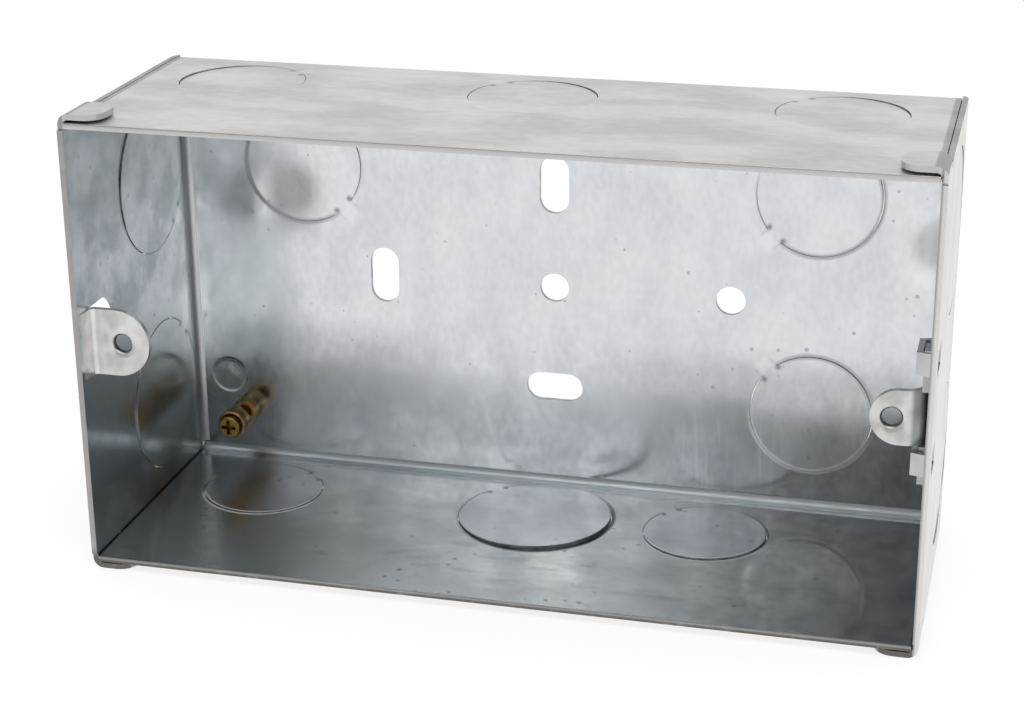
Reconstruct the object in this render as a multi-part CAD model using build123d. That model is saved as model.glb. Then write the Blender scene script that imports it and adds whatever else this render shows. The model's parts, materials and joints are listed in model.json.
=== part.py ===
from build123d import *
import os

# Two-gang flush wall box folded from one galvanised sheet, with a sliding lug and a brass earth terminal.
# Millimetres. The origin is the centre of the back plate's outer face, the open front faces -Y, +Z is up.

# Box
box_width = 133.0             # over the end walls
box_height = 73.4             # over the long walls, without the corner tabs
box_depth = 47.0              # rim to the outer face of the back
sheet = 0.9                   # thickness of the folded sheet
bend_inside = 1.5             # inside radius of the folds round the back
seam_gap = 0.15               # open seam down each corner
corner_relief = 0.06          # slit where the end folds stop short of the long folds

# Corner tabs of the end walls, folded over the long walls
tab_length = 6.8              # from the end wall's outer face
tab_depth = 8.0               # along the rim's depth
tab_setback = 0.4             # behind the rim
tab_corner = 3.0              # rounding of the tab's end
tab_bend = 0.8                # inside radius of the tab's fold
tab_gap = 0.4                 # air between the tab and the long wall
tab_notch = 1.2               # relief notch beside the tab, its depth
tab_notch_width = 0.8         # relief notch beside the tab, its width

# Knockouts, lanced through the sheet and held by one bridge each
knockout_small = 20.6         # for 20 mm conduit
knockout_large = 26.0         # for 25 mm conduit
knockout_slit = 0.12
knockout_bridge = 3.2
wall_knockout_setback = 15.5  # centre of the wall knockouts, from the outer face of the back
back_knockout_side = 22.5     # centre of the back knockouts, from the end wall
back_knockout_edge = 17.7     # centre of the back knockouts, from the long wall
end_knockout_edge = 17.3      # centre of the end wall knockouts, from the long wall
long_knockout_side = 18.0     # centre of the outer knockouts of the long walls, from the end wall
floor_knockout_offset = 29.0  # centre of the floor's right knockout, from the middle

# Wall fixing holes and slots in the back
fixing_hole = 5.0
slot_width = 5.0
slot_length = 9.8
fixing_reach = 30.0           # from the middle to the side hole and slot
slot_rise = 18.0              # from the middle to the upper and lower slots

# Accessory lugs
lug_inset = 6.2               # lug hole, from the end wall's outer face; holes at 120.6 mm centres
lug_setback = 4.3             # front face of both lugs, behind the rim
lug_hole = 3.0                # M3.5 tapping size
lug_bend = 0.8                # inside radius of the fixed lug's fold
lug_edge_break = 0.2          # chamfer round the front of the lug holes

# Fixed lug, a tongue lanced from the left end wall
fixed_lug_height = 11.0
fixed_lug_tip = 4.5           # metal past the hole's centre
tongue_root = 1.0             # from the rim to the tongue's root
tongue_lean = 0.3             # inward lean of the tongue's leg
tongue_kerf = 0.12            # slit round the tongue

# Adjustable lug, a folded plate in two lanced loops of the right end wall
slide_sheet = 1.0             # thickness of the plate
slide_bend = 2.2              # inside radius of its fold
slide_height = 21.4
slide_depth = 4.2             # from the lug's front face to the plate's back edge
slide_lug_height = 8.6
slide_lug_tip = 3.2           # metal past the hole's centre
slide_corner = 1.0            # rounding of the plate's back corners
slide_drop = 1.15             # where the lug stands at rest, below the middle
slide_clearance = 0.15        # between the plate and the wall, and the plate and the loops
loop_spread = 12.2            # clear height between the two loops
loop_height = 3.5
loop_ramp = 0.6               # lean of the loop's legs
loop_leg = 0.55               # extra metal in the legs, along the depth
loop_room = 0.25              # loop's flat, past the plate at each edge
loop_kerf = 0.12              # slit beside each loop

# Brass earth terminal
post_diameter = 5.0
post_height = 8.3             # above the inside of the back
post_side = 9.9               # axis, from the end wall's outer face
post_floor = 9.5              # axis, from the lower long wall's outer face
post_edge = 0.2               # chamfer of the front end, outside
mouth_edge = 0.2              # chamfer of the screw hole's mouth
rivet_diameter = 3.0          # tail through the back plate
rivet_clearance = 0.02
wire_hole = 3.0
wire_hole_height = 4.2        # axis, above the inside of the back
wire_hole_turn = 45.0         # degrees from level
bore_past = 0.3               # blind end of the screw hole, past the wire hole
screw_diameter = 3.7
screw_length = 3.8
screw_stand = 1.3             # screw's head in front of the post, at rest
screw_edge = 0.2              # chamfer of the screw's head
screw_clearance = 0.05        # radial, in the post's hole
screw_tip = 0.5               # chamfer of the screw's point
cross_width = 0.7             # driving cross
cross_length = 2.7
cross_depth = 0.8

# Pressed round mark beside the terminal
mark_diameter = 6.4
mark_lift = 0.35
mark_side = 3.0               # its centre, from the post towards the end wall
mark_rise = 6.2               # its centre, above the post

bend_outside = bend_inside + sheet
half_width = box_width / 2
half_height = box_height / 2
lug_x = half_width - lug_inset
rim = -box_depth
forward = Vector(0, -1, 0)


# Sketch planes on the outer faces of the walls, with their own x and y named
back_plane = Plane((0, 0, 0), x_dir=(1, 0, 0), z_dir=(0, -1, 0))                # x is X, y is Z
top_plane = Plane((0, 0, half_height), x_dir=(1, 0, 0), z_dir=(0, 0, 1))        # x is X, y is Y
floor_plane = Plane((0, 0, -half_height), x_dir=(1, 0, 0), z_dir=(0, 0, 1))     # x is X, y is Y
left_plane = Plane((-half_width, 0, 0), x_dir=(0, 1, 0), z_dir=(1, 0, 0))       # x is Y, y is Z
right_plane = Plane((half_width, 0, 0), x_dir=(0, 1, 0), z_dir=(1, 0, 0))       # x is Y, y is Z


def through(plane, sketch):
    """A cutter through one wall, from a sketch on the wall's outer face."""
    return extrude(plane * sketch, amount=2 * sheet, both=True)


def wall(outward, half_reach, fold_half, wall_half):
    """One wall with its fold: outward points away from the box, half_reach is its outer face.

    Where the fold stops short, an ear of the wall's own thickness goes on to the corner."""
    side = Vector(*outward)
    plane = Plane(side * (half_reach - bend_outside), x_dir=side, z_dir=side.cross(forward))
    ring = Pos(0, bend_outside) * (Circle(bend_outside) - Circle(bend_inside))
    fold = ring & Rectangle(bend_outside, bend_outside, align=(Align.MIN, Align.MIN))
    flat = Pos(bend_inside, bend_outside) * Rectangle(
        sheet, box_depth - bend_outside, align=(Align.MIN, Align.MIN))
    ear = fold & Pos(bend_inside, 0) * Rectangle(sheet, bend_outside, align=(Align.MIN, Align.MIN))
    fold_solid = extrude(plane * fold, amount=fold_half, both=True)
    return fold_solid + extrude(plane * (flat + ear), amount=wall_half, both=True)


def corner_tab():
    """Tab at the upper left corner, from the notch in the end wall up and over the long wall."""
    plane = Plane((-half_width, rim + tab_setback, half_height), x_dir=(1, 0, 0), z_dir=(0, -1, 0))
    bend_x = sheet + tab_bend
    bend_z = tab_gap - tab_bend
    leg = Pos(0, -tab_notch) * Rectangle(sheet, bend_z + tab_notch, align=(Align.MIN, Align.MIN))
    ring = Circle(tab_bend + sheet) - Circle(tab_bend)
    fold = Pos(bend_x, bend_z) * (ring & Rectangle(bend_x, bend_x, align=(Align.MAX, Align.MIN)))
    flat = Pos(bend_x, tab_gap) * Rectangle(tab_length - bend_x, sheet, align=(Align.MIN, Align.MIN))
    tab = extrude(plane * (leg + fold + flat), amount=-tab_depth)
    end_edges = tab.edges().filter_by(Axis.Z).sort_by(Axis.X)[-2:]
    return fillet(end_edges, tab_corner)


def tab_relief():
    """What the upper left tab takes out of the end wall's edge."""
    depth = tab_setback + tab_depth + tab_notch_width
    return Pos(-half_width, rim, half_height - tab_notch) * Box(
        sheet, depth, tab_notch, align=(Align.MIN, Align.MIN, Align.MIN))


def four_corners(solid):
    """The solid and its mirror images in all four corners."""
    pair = [solid, mirror(solid, Plane.YZ)]
    return pair + [mirror(piece, Plane.XY) for piece in pair]


def knockout(diameter, bridge_angle):
    """The slit round a knockout, broken by its bridge."""
    ring = Circle(diameter / 2) - Circle(diameter / 2 - knockout_slit)
    bridge = Pos(diameter / 2, 0) * Rectangle(knockout_bridge, knockout_bridge)
    return ring - Rot(0, 0, bridge_angle) * bridge


def knockout_cutters():
    """All knockout slits. Each bridge points to the middle of the box and to its back."""
    side = half_width - back_knockout_side
    edge = half_height - back_knockout_edge
    back = [(-side, edge, -45), (side, edge, -135), (side, -edge, 135)]
    cutters = [through(back_plane, Pos(x, z) * knockout(knockout_small, angle)) for x, z, angle in back]
    end = half_height - end_knockout_edge
    for plane in (left_plane, right_plane):
        for z, angle in ((end, -45), (-end, 45)):
            cutters.append(through(plane, Pos(-wall_knockout_setback, z) * knockout(knockout_large, angle)))
    far = half_width - long_knockout_side
    top = [(-far, knockout_small, 45), (0, knockout_small, 135), (far, knockout_small, 135)]
    floor = [
        (-far, knockout_small, 45), (0, knockout_large, 135), (floor_knockout_offset, knockout_small, 135)]
    for plane, row in ((top_plane, top), (floor_plane, floor)):
        for x, diameter, angle in row:
            cutters.append(through(plane, Pos(x, -wall_knockout_setback) * knockout(diameter, angle)))
    return cutters


def fixing_cutters():
    """Screw holes and slots in the back."""
    upright = Rot(0, 0, 90) * SlotOverall(slot_length, slot_width)
    sketches = [
        Circle(fixing_hole / 2),
        Pos(fixing_reach, 0) * Circle(fixing_hole / 2),
        Pos(-fixing_reach, 0) * upright,
        Pos(0, slot_rise) * upright,
        Pos(0, -slot_rise) * SlotOverall(slot_length, slot_width),
    ]
    return [through(back_plane, sketch) for sketch in sketches]


def lug_hole_cutter(x, z, thickness):
    """Tapping hole through a lug, its edge broken at the front."""
    plane = Plane((x, lug_front, z), x_dir=(1, 0, 0), z_dir=(0, 1, 0))
    drill = extrude(plane * Circle(lug_hole / 2), amount=thickness)
    cone = loft([plane * Circle(lug_hole / 2 + lug_edge_break),
                 plane.offset(lug_edge_break) * Circle(lug_hole / 2)])
    return drill + cone


def lug_outline(hole_x, tip, height, inward):
    """Prism along Y with the round-ended outline of a lug; inward is the sign of X into the box."""
    end_x = hole_x + inward * (tip - height / 2)
    plane = Plane((end_x, rim, 0), x_dir=(inward, 0, 0), z_dir=(0, 1, 0))
    outline = Circle(height / 2) + Rectangle(half_width, height, align=(Align.MAX, Align.CENTER))
    return extrude(plane * outline, amount=box_depth)


def fixed_lug():
    """Tongue of the left end wall: a leaning leg from the rim, then the lug square to it."""
    root = rim + tongue_root
    tip_x = -lug_x + fixed_lug_tip
    face_x = -half_width + sheet
    lug_back = lug_front + sheet
    inner = (face_x + tongue_lean, lug_front)
    outer = (-half_width + tongue_lean, lug_back)
    outline = make_face(Polyline(
        (-half_width, root), (face_x, root), inner,
        (tip_x, lug_front), (tip_x, lug_back), outer, close=True))
    outline = fillet(outline.vertices().sort_by_distance(inner)[0], lug_bend)
    outline = fillet(outline.vertices().sort_by_distance(outer)[0], lug_bend + sheet)
    strip = extrude(outline, amount=fixed_lug_height / 2, both=True)
    lug = strip & lug_outline(-lug_x, fixed_lug_tip, fixed_lug_height, 1)
    return lug - lug_hole_cutter(-lug_x, 0, sheet)


def fixed_lug_window():
    """Opening that the tongue leaves in the left end wall, with the slit round it."""
    reach = lug_setback - tongue_root + lug_inset + fixed_lug_tip - sheet + tongue_kerf
    height = fixed_lug_height + 2 * tongue_kerf
    round_end = Pos(rim + tongue_root + reach - height / 2, 0) * Circle(height / 2)
    straight = Pos(rim + tongue_root, 0) * Rectangle(
        reach - height / 2, height, align=(Align.MIN, Align.CENTER))
    return through(left_plane, round_end + straight)


plate_outer = half_width - sheet - slide_clearance         # X of the sliding plate's outer face
plate_inner = plate_outer - slide_sheet
loop_outer = plate_inner - slide_clearance                 # X of the loops' face towards the plate
lug_front = rim + lug_setback                              # Y of both lugs' front faces
loop_flat_front = lug_front - loop_room
loop_flat_back = lug_front + slide_depth + loop_room
loop_front_root = loop_flat_front - loop_ramp
loop_back_root = loop_flat_back + loop_ramp


def guide_loop():
    """Section of one loop, a strap pushed inward from the right end wall."""
    ridge = [(loop_outer, loop_flat_front), (loop_outer, loop_flat_back)]
    foot = [(half_width, loop_front_root), (half_width, loop_back_root)]
    inner_x = loop_outer - sheet
    wall_x = half_width - sheet
    inner_ridge = [(inner_x, loop_flat_front - loop_leg), (inner_x, loop_flat_back + loop_leg)]
    inner_foot = [(wall_x, loop_front_root - loop_leg), (wall_x, loop_back_root + loop_leg)]
    section = make_face(Polyline(
        foot[0], *ridge, foot[1], inner_foot[1], inner_ridge[1], inner_ridge[0], inner_foot[0], close=True))
    return extrude(section, amount=loop_height / 2, both=True)


def guide_loops():
    """The upper and lower loop."""
    rise = loop_spread / 2 + loop_height / 2
    return [Pos(0, 0, z) * guide_loop() for z in (rise, -rise)]


def guide_windows():
    """Openings that the loops leave in the right end wall."""
    rise = loop_spread / 2 + loop_height / 2
    sketch = Pos(loop_front_root, 0) * Rectangle(
        loop_back_root - loop_front_root, loop_height + 2 * loop_kerf, align=(Align.MIN, Align.CENTER))
    return [through(right_plane, Pos(0, z) * sketch) for z in (rise, -rise)]


post_x = -half_width + post_side
post_z = -half_height + post_floor
post_foot = -sheet                                         # Y of the inside of the back
post_front = post_foot - post_height


def turned(radius, start, end):
    """A cylinder along the post's axis between two Y values."""
    plane = Plane((post_x, start, post_z), x_dir=(1, 0, 0), z_dir=(0, 1, 0))
    return extrude(plane * Circle(radius), amount=end - start)


def pressed_mark():
    """Disc of the back plate pushed inward: what it adds inside and what it takes from outside."""
    sketch = Pos(post_x - mark_side, post_z + mark_rise) * Circle(mark_diameter / 2)
    lifted = extrude(back_plane.offset(sheet) * sketch, amount=mark_lift)
    hollow = extrude(back_plane * sketch, amount=mark_lift)
    return lifted, hollow


def make_box_body():
    """The folded sheet: back, four walls, tabs, fixed lug and guide loops."""
    plate = Box(
        box_width - 2 * bend_outside, sheet, box_height - 2 * bend_outside,
        align=(Align.CENTER, Align.MAX, Align.CENTER))
    long_wall = half_width - sheet - seam_gap
    end_fold = half_height - bend_outside - corner_relief
    walls = [
        wall((0, 0, 1), half_height, long_wall, long_wall),
        wall((0, 0, -1), half_height, long_wall, long_wall),
        wall((1, 0, 0), half_width, end_fold, half_height),
        wall((-1, 0, 0), half_width, end_fold, half_height),
    ]
    lifted, hollow = pressed_mark()
    body = plate + walls + lifted
    rivet_hole = turned(rivet_diameter / 2 + rivet_clearance, post_foot, 0)
    cutters = four_corners(tab_relief()) + [fixed_lug_window(), hollow, rivet_hole]
    body = body - (cutters + guide_windows() + fixing_cutters() + knockout_cutters())
    return body + (four_corners(corner_tab()) + [fixed_lug()] + guide_loops())


def make_adjustable_lug():
    """Upright plate behind the loops, with the lug folded from its front edge."""
    tip_x = lug_x - slide_lug_tip
    plate_back = lug_front + slide_depth
    lug_back = lug_front + slide_sheet
    plate = Pos(plate_inner, lug_front, 0) * Box(
        slide_sheet, slide_depth, slide_height, align=(Align.MIN, Align.MIN, Align.CENTER))
    plate = fillet(plate.edges().filter_by(Axis.X), slide_corner)
    outer = (plate_outer, lug_front)
    inner = (plate_inner, lug_back)
    section = make_face(Polyline(
        outer, (plate_outer, plate_back), (plate_inner, plate_back), inner,
        (tip_x, lug_back), (tip_x, lug_front), close=True))
    section = fillet(section.vertices().sort_by_distance(inner)[0], slide_bend)
    section = fillet(section.vertices().sort_by_distance(outer)[0], slide_bend + slide_sheet)
    folded = extrude(section, amount=slide_lug_height / 2, both=True)
    folded = folded & lug_outline(lug_x, slide_lug_tip, slide_lug_height, -1)
    corner = Pos(plate_inner, lug_front, 0) * Box(
        slide_sheet, slide_bend + slide_sheet, slide_lug_height, align=(Align.MIN, Align.MIN, Align.CENTER))
    lug = (plate - corner) + folded - lug_hole_cutter(lug_x, 0, slide_sheet)
    return Pos(0, 0, -slide_drop) * lug


def make_earth_post():
    """Turned brass pillar with a cross hole for the wire, riveted through the back."""
    pillar = turned(post_diameter / 2, post_front, post_foot)
    pillar = chamfer(pillar.edges().sort_by(Axis.Y)[0], post_edge)
    tail = turned(rivet_diameter / 2, post_foot, 0)
    wire_y = post_foot - wire_hole_height
    bore_radius = screw_diameter / 2 + screw_clearance
    bore = turned(bore_radius, post_front, wire_y + wire_hole / 2 + bore_past)
    mouth_plane = Plane((post_x, post_front, post_z), x_dir=(1, 0, 0), z_dir=(0, 1, 0))
    mouth = loft([mouth_plane * Circle(bore_radius + mouth_edge),
                  mouth_plane.offset(mouth_edge) * Circle(bore_radius)])
    cross = Pos(post_x, wire_y, post_z) * Rot(0, 90 - wire_hole_turn, 0) * Cylinder(
        wire_hole / 2, 2 * post_diameter)
    return (pillar + tail) - [bore, mouth, cross]


def make_terminal_screw():
    """Clamping screw in the post's front end, with a driving cross."""
    head = post_front - screw_stand
    screw = turned(screw_diameter / 2, head, head + screw_length)
    screw = chamfer(screw.edges().sort_by(Axis.Y)[-1], screw_tip)
    screw = chamfer(screw.edges().sort_by(Axis.Y)[0], screw_edge)
    bar = Pos(post_x, head, post_z) * Box(
        cross_length, cross_depth, cross_width, align=(Align.CENTER, Align.MIN, Align.CENTER))
    other_bar = Pos(post_x, head, post_z) * Box(
        cross_width, cross_depth, cross_length, align=(Align.CENTER, Align.MIN, Align.CENTER))
    return screw - [bar, other_bar]


makers = {
    "box_body": make_box_body,
    "adjustable_lug": make_adjustable_lug,
    "earth_post": make_earth_post,
    "terminal_screw": make_terminal_screw,
}

os.makedirs("parts", exist_ok=True)
for name, make in makers.items():
    export_step(make(), f"parts/{name}.step")
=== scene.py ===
import bpy
import bmesh
import json
import math
from mathutils import Matrix, Vector


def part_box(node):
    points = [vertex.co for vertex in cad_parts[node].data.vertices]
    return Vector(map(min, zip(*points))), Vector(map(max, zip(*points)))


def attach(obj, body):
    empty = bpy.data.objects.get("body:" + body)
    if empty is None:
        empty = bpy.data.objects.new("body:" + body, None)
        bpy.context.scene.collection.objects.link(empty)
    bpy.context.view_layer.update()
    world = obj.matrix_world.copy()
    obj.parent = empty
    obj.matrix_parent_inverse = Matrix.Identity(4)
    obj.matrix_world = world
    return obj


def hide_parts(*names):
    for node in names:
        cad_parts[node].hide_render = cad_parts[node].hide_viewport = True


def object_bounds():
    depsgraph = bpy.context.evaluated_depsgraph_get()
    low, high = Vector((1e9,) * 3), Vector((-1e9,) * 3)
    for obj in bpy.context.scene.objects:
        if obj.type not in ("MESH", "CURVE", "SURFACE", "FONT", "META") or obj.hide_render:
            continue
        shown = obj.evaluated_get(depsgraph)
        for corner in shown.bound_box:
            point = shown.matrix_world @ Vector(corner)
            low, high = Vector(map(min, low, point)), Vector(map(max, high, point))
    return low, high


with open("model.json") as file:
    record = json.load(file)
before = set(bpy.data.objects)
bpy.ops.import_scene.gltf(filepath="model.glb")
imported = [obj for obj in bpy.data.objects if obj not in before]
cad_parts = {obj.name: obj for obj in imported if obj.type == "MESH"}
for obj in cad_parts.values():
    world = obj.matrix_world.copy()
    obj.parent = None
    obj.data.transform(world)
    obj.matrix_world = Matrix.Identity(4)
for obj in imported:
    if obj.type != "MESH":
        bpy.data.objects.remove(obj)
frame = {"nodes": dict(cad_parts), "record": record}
cadLow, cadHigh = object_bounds()
mm = 1000.0                     # materials and zones below count in millimetres
diagonal = math.sqrt(0.5)
mountPlaces = {mount["name"]: Vector(mount["pos_m"]) * mm for mount in frame["record"]["mounts"]}
shell = {                       # the folded sheet
    "side": cadHigh.x * mm,
    "wall": mountPlaces["knockout_top_middle"].z,
    "rim": cadLow.y * mm,
    "sheet": 0.9,               # its thickness
    "longEnd": 65.45,           # where the long walls end, at the open corners
    "notch": 1.3,               # depth of the relief beside each tab
    "band": 2.4,                # as deep as a fold
}
print("frame loaded:", ", ".join(sorted(frame["nodes"])))


class Wire:  # a node socket that takes part in sums
    def __init__(self, tree, socket):
        self.tree = tree
        self.socket = socket

    def node(self, kind, settings, values, out=0):
        made = self.tree.nodes.new("ShaderNode" + kind)
        for name, value in settings.items():
            setattr(made, name, value)
        for name, value in values.items():
            if isinstance(value, Wire):
                self.tree.links.new(value.socket, made.inputs[name])
            else:
                made.inputs[name].default_value = value
        return Wire(self.tree, made.outputs[out])

    def math(self, operation, first, second=0.0):
        return self.node("Math", {"operation": operation}, {0: first, 1: second})

    def __add__(self, other):
        return self.math("ADD", self, other)

    def __sub__(self, other):
        return self.math("SUBTRACT", self, other)

    def __rsub__(self, other):
        return self.math("SUBTRACT", other, self)

    def __mul__(self, other):
        return self.math("MULTIPLY", self, other)

    def __truediv__(self, other):
        return self.math("DIVIDE", self, other)

    def __abs__(self):
        return self.math("ABSOLUTE", self)

    __radd__ = __add__
    __rmul__ = __mul__

    def root(self):
        return self.math("SQRT", self)

    def larger(self, other):
        return self.math("MAXIMUM", self, other)

    def smaller(self, other):
        return self.math("MINIMUM", self, other)

    def past(self, limit):  # 1 above the limit, 0 below
        return self.math("GREATER_THAN", self, limit)

    def ramp(self, low, high):  # 0 below low, 1 above high, soft between
        settings = {"interpolation_type": "SMOOTHSTEP"}
        return self.node("MapRange", settings, {"Value": self, "From Min": low, "From Max": high})

    def near(self, centre, full, gone):  # 1 within full of the centre, 0 past gone
        return 1 - abs(self - centre).ramp(full, gone)

    def tint(self, colourA, colourB):  # mixes two colours by this mask
        return self.node("Mix", {"data_type": "RGBA"}, {0: self, 6: colourA, 7: colourB}, out=2)

    def axes(self):
        made = self.tree.nodes.new("ShaderNodeSeparateXYZ")
        self.tree.links.new(self.socket, made.inputs[0])
        return [Wire(self.tree, output) for output in made.outputs]

    def noise(self, size, detail, stretch=(1.0, 1.0, 1.0)):  # size of a blotch in mm
        scale = tuple(part / size for part in stretch)
        spread = self.node("VectorMath", {"operation": "MULTIPLY"}, {0: self, 1: scale})
        return self.node("TexNoise", {}, {"Vector": spread, "Scale": 1.0, "Detail": detail})

    def specks(self, spacing, radius, soft=0.1):  # pits scattered through the metal, in mm
        settings = {"feature": "F1"}
        far = self.node("TexVoronoi", settings, {"Vector": self, "Scale": 1.0 / spacing}, out="Distance")
        return 1 - (far * spacing - radius).ramp(-soft, soft)

    def bump(self):  # this wire is a height in mm
        return self.node("Bump", {}, {"Height": self, "Distance": 1.0 / mm})


def newMaterial(name):
    material = bpy.data.materials.new(name)
    material.use_nodes = True
    tree = material.node_tree
    tree.nodes.clear()
    coordinates = tree.nodes.new("ShaderNodeTexCoord")
    place = Wire(tree, coordinates.outputs["Object"])
    inMillimetres = place.node("VectorMath", {"operation": "SCALE"}, {0: place, "Scale": mm})
    return material, inMillimetres


def closeMaterial(surface):
    out = surface.tree.nodes.new("ShaderNodeOutputMaterial")
    surface.tree.links.new(surface.socket, out.inputs["Surface"])


def closeMetal(colour, roughness, metallic=1.0, height=None):
    values = {"Base Color": colour, "Metallic": metallic, "Roughness": roughness}
    if height is not None:
        values["Normal"] = height.bump()
    closeMaterial(colour.node("BsdfPrincipled", {}, values))


def lightPath(tree, *rays):  # 1 for any of the named rays
    path = tree.nodes.new("ShaderNodeLightPath")
    shown = Wire(tree, path.outputs[rays[0]])
    for ray in rays[1:]:
        shown = shown.larger(Wire(tree, path.outputs[ray]))
    return shown


# studio
studio = {
    "white": (1.0, 1.0, 1.0, 1.0),
    "fillLevel": 0.75,
    "floorSize": 6.0,
    "floorColour": (0.92, 0.92, 0.92, 1.0),
    "floorGlow": 0.8,           # share of plain white that the camera sees in the floor
    "cardPlace": -1.5,          # metres, behind the camera
    "cardSize": (6.0, 2.4),
    "cardDim": 0.16,
    "cardBright": 1.15,
    "panelTurn": -14.2,         # degrees from straight ahead, left is negative
    "panelRise": 24.0,
    "panelHalf": (0.19, 0.22),
    "panelSoft": 0.10,
}


def makeWorld():
    world = bpy.data.worlds.new("softTent")
    bpy.context.scene.world = world
    world.use_nodes = True
    tree = world.node_tree
    tree.nodes.clear()
    shown = lightPath(tree, "Is Camera Ray", "Is Glossy Ray", "Is Transmission Ray")
    level = studio["fillLevel"] + shown * (1.0 - studio["fillLevel"])
    glow = shown.node("Background", {}, {"Color": studio["white"], "Strength": level})
    out = tree.nodes.new("ShaderNodeOutputWorld")
    tree.links.new(glow.socket, out.inputs["Surface"])


def planeObject(name, width, height, matrix):
    shape = bmesh.new()
    bmesh.ops.create_grid(shape, x_segments=1, y_segments=1, size=0.5)
    bmesh.ops.scale(shape, vec=(width, height, 1.0), verts=shape.verts)
    bmesh.ops.transform(shape, matrix=matrix, verts=shape.verts)
    mesh = bpy.data.meshes.new(name)
    shape.to_mesh(mesh)
    shape.free()
    made = bpy.data.objects.new(name, mesh)
    bpy.context.scene.collection.objects.link(made)
    return made


def makeFloor():
    under = Matrix.Translation((0, 0, cadLow.z))
    floor = planeObject("floor", studio["floorSize"], studio["floorSize"], under)
    material, place = newMaterial("paleFloor")
    matt = place.node("BsdfDiffuse", {}, {"Color": studio["floorColour"]})
    glow = place.node("Emission", {}, {"Color": studio["white"], "Strength": 1.0})
    share = lightPath(place.tree, "Is Camera Ray", "Is Glossy Ray") * studio["floorGlow"]
    closeMaterial(place.node("MixShader", {}, {0: share, 1: matt, 2: glow}))
    floor.data.materials.append(material)


def makeCard():  # seen only in the metal: dim, with one soft bright panel
    width, height = studio["cardSize"]
    middle = Matrix.Translation((0, studio["cardPlace"], cadLow.z + height / 2))
    card = planeObject("dimCard", width, height, middle @ Matrix.Rotation(math.pi / 2, 4, "X"))
    material, place = newMaterial("dimCard")
    away = -studio["cardPlace"] * mm
    panelX = away * math.tan(math.radians(studio["panelTurn"]))
    panelZ = away * math.tan(math.radians(studio["panelRise"]))
    halfX, halfZ = [half * mm for half in studio["panelHalf"]]
    soft = studio["panelSoft"] * mm
    x, _, z = place.axes()
    panel = x.near(panelX, halfX - soft, halfX + soft) * z.near(panelZ, halfZ - soft, halfZ + soft)
    level = studio["cardDim"] + panel * (studio["cardBright"] - studio["cardDim"])
    closeMaterial(place.node("Emission", {}, {"Color": studio["white"], "Strength": level}))
    card.data.materials.append(material)
    card.visible_camera = False
    card.visible_diffuse = False
    card.visible_shadow = False


overhead = {"place": (0.1, -0.3, 0.9), "size": 0.8, "power": 6.0}


def makeLamp():
    lamp = bpy.data.lights.new("overhead", "AREA")
    lamp.size = overhead["size"]
    lamp.energy = overhead["power"]
    holder = bpy.data.objects.new("overhead", lamp)
    bpy.context.scene.collection.objects.link(holder)
    holder.location = overhead["place"]
    holder.rotation_euler = (-Vector(overhead["place"])).to_track_quat("-Z", "Y").to_euler()


camera = {
    "place": (0.081322, -0.341904, 0.121279),
    "aim": (-0.001657, -0.0235, -0.003676),
    "roll": -0.5,               # degrees
    "lens": 77.12,
    "sensor": 36.0,
    "nearest": 0.01,
}


def makeCamera():
    lens = bpy.data.cameras.new("camera")
    lens.lens = camera["lens"]
    lens.sensor_width = camera["sensor"]
    lens.clip_start = camera["nearest"]
    holder = bpy.data.objects.new("camera", lens)
    bpy.context.scene.collection.objects.link(holder)
    place = Vector(camera["place"])
    turn = (Vector(camera["aim"]) - place).to_track_quat("-Z", "Y").to_matrix().to_4x4()
    roll = Matrix.Rotation(math.radians(camera["roll"]), 4, "Z")
    holder.matrix_world = Matrix.Translation(place) @ turn @ roll
    bpy.context.scene.camera = holder


bpy.context.scene.view_settings.view_transform = "Standard"
makeWorld()
makeFloor()
makeCard()
makeLamp()
makeCamera()
print("studio ready")


# knockouts: each blank is sheared all round but for its bridge, and its free side leans into the box
# a ring gives a distance from the slit, how far it is full, and where it is gone
knockout = {
    "small": 10.3,              # radius of the slit
    "large": 13.0,
    "bridgeReach": (0.0, 3.0),  # from the middle of the blank
    "bridgeHalf": 1.6,
    "bridgeEdge": (1.2, 1.9),
    "lineRing": (0.0, 0.02, 0.42),  # rubbed edge of the shear
    "lineRough": 0.26,
    "spotRing": (-0.5, 0.0, 0.8),   # dark punch spots, inside the slit
    "spotHalf": 0.8,
    "spotShare": 0.75,
    "cutRing": (0.8, 0.6, 1.1),     # short cuts at both sides of the bridge
    "cutHalf": 0.3,
    "cutShare": 0.12,
    "padRing": (1.3, 0.5, 1.7),     # flattened pad outside the slit, painted bright as a highlight
    "padEdge": (0.6, 1.8),
    "stepRing": (0.25, 0.2, 0.6),   # shaded step on the free side
    "freeSide": (-0.4, 0.7),        # where that side begins and is full, as shares of the radius
    "rolledRing": (0.0, 0.2, 0.75),
    "lean": 0.08,               # rolled edge of the blank, height in mm
    "leanHalf": 0.40,           # rounding of its edge
}


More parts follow.
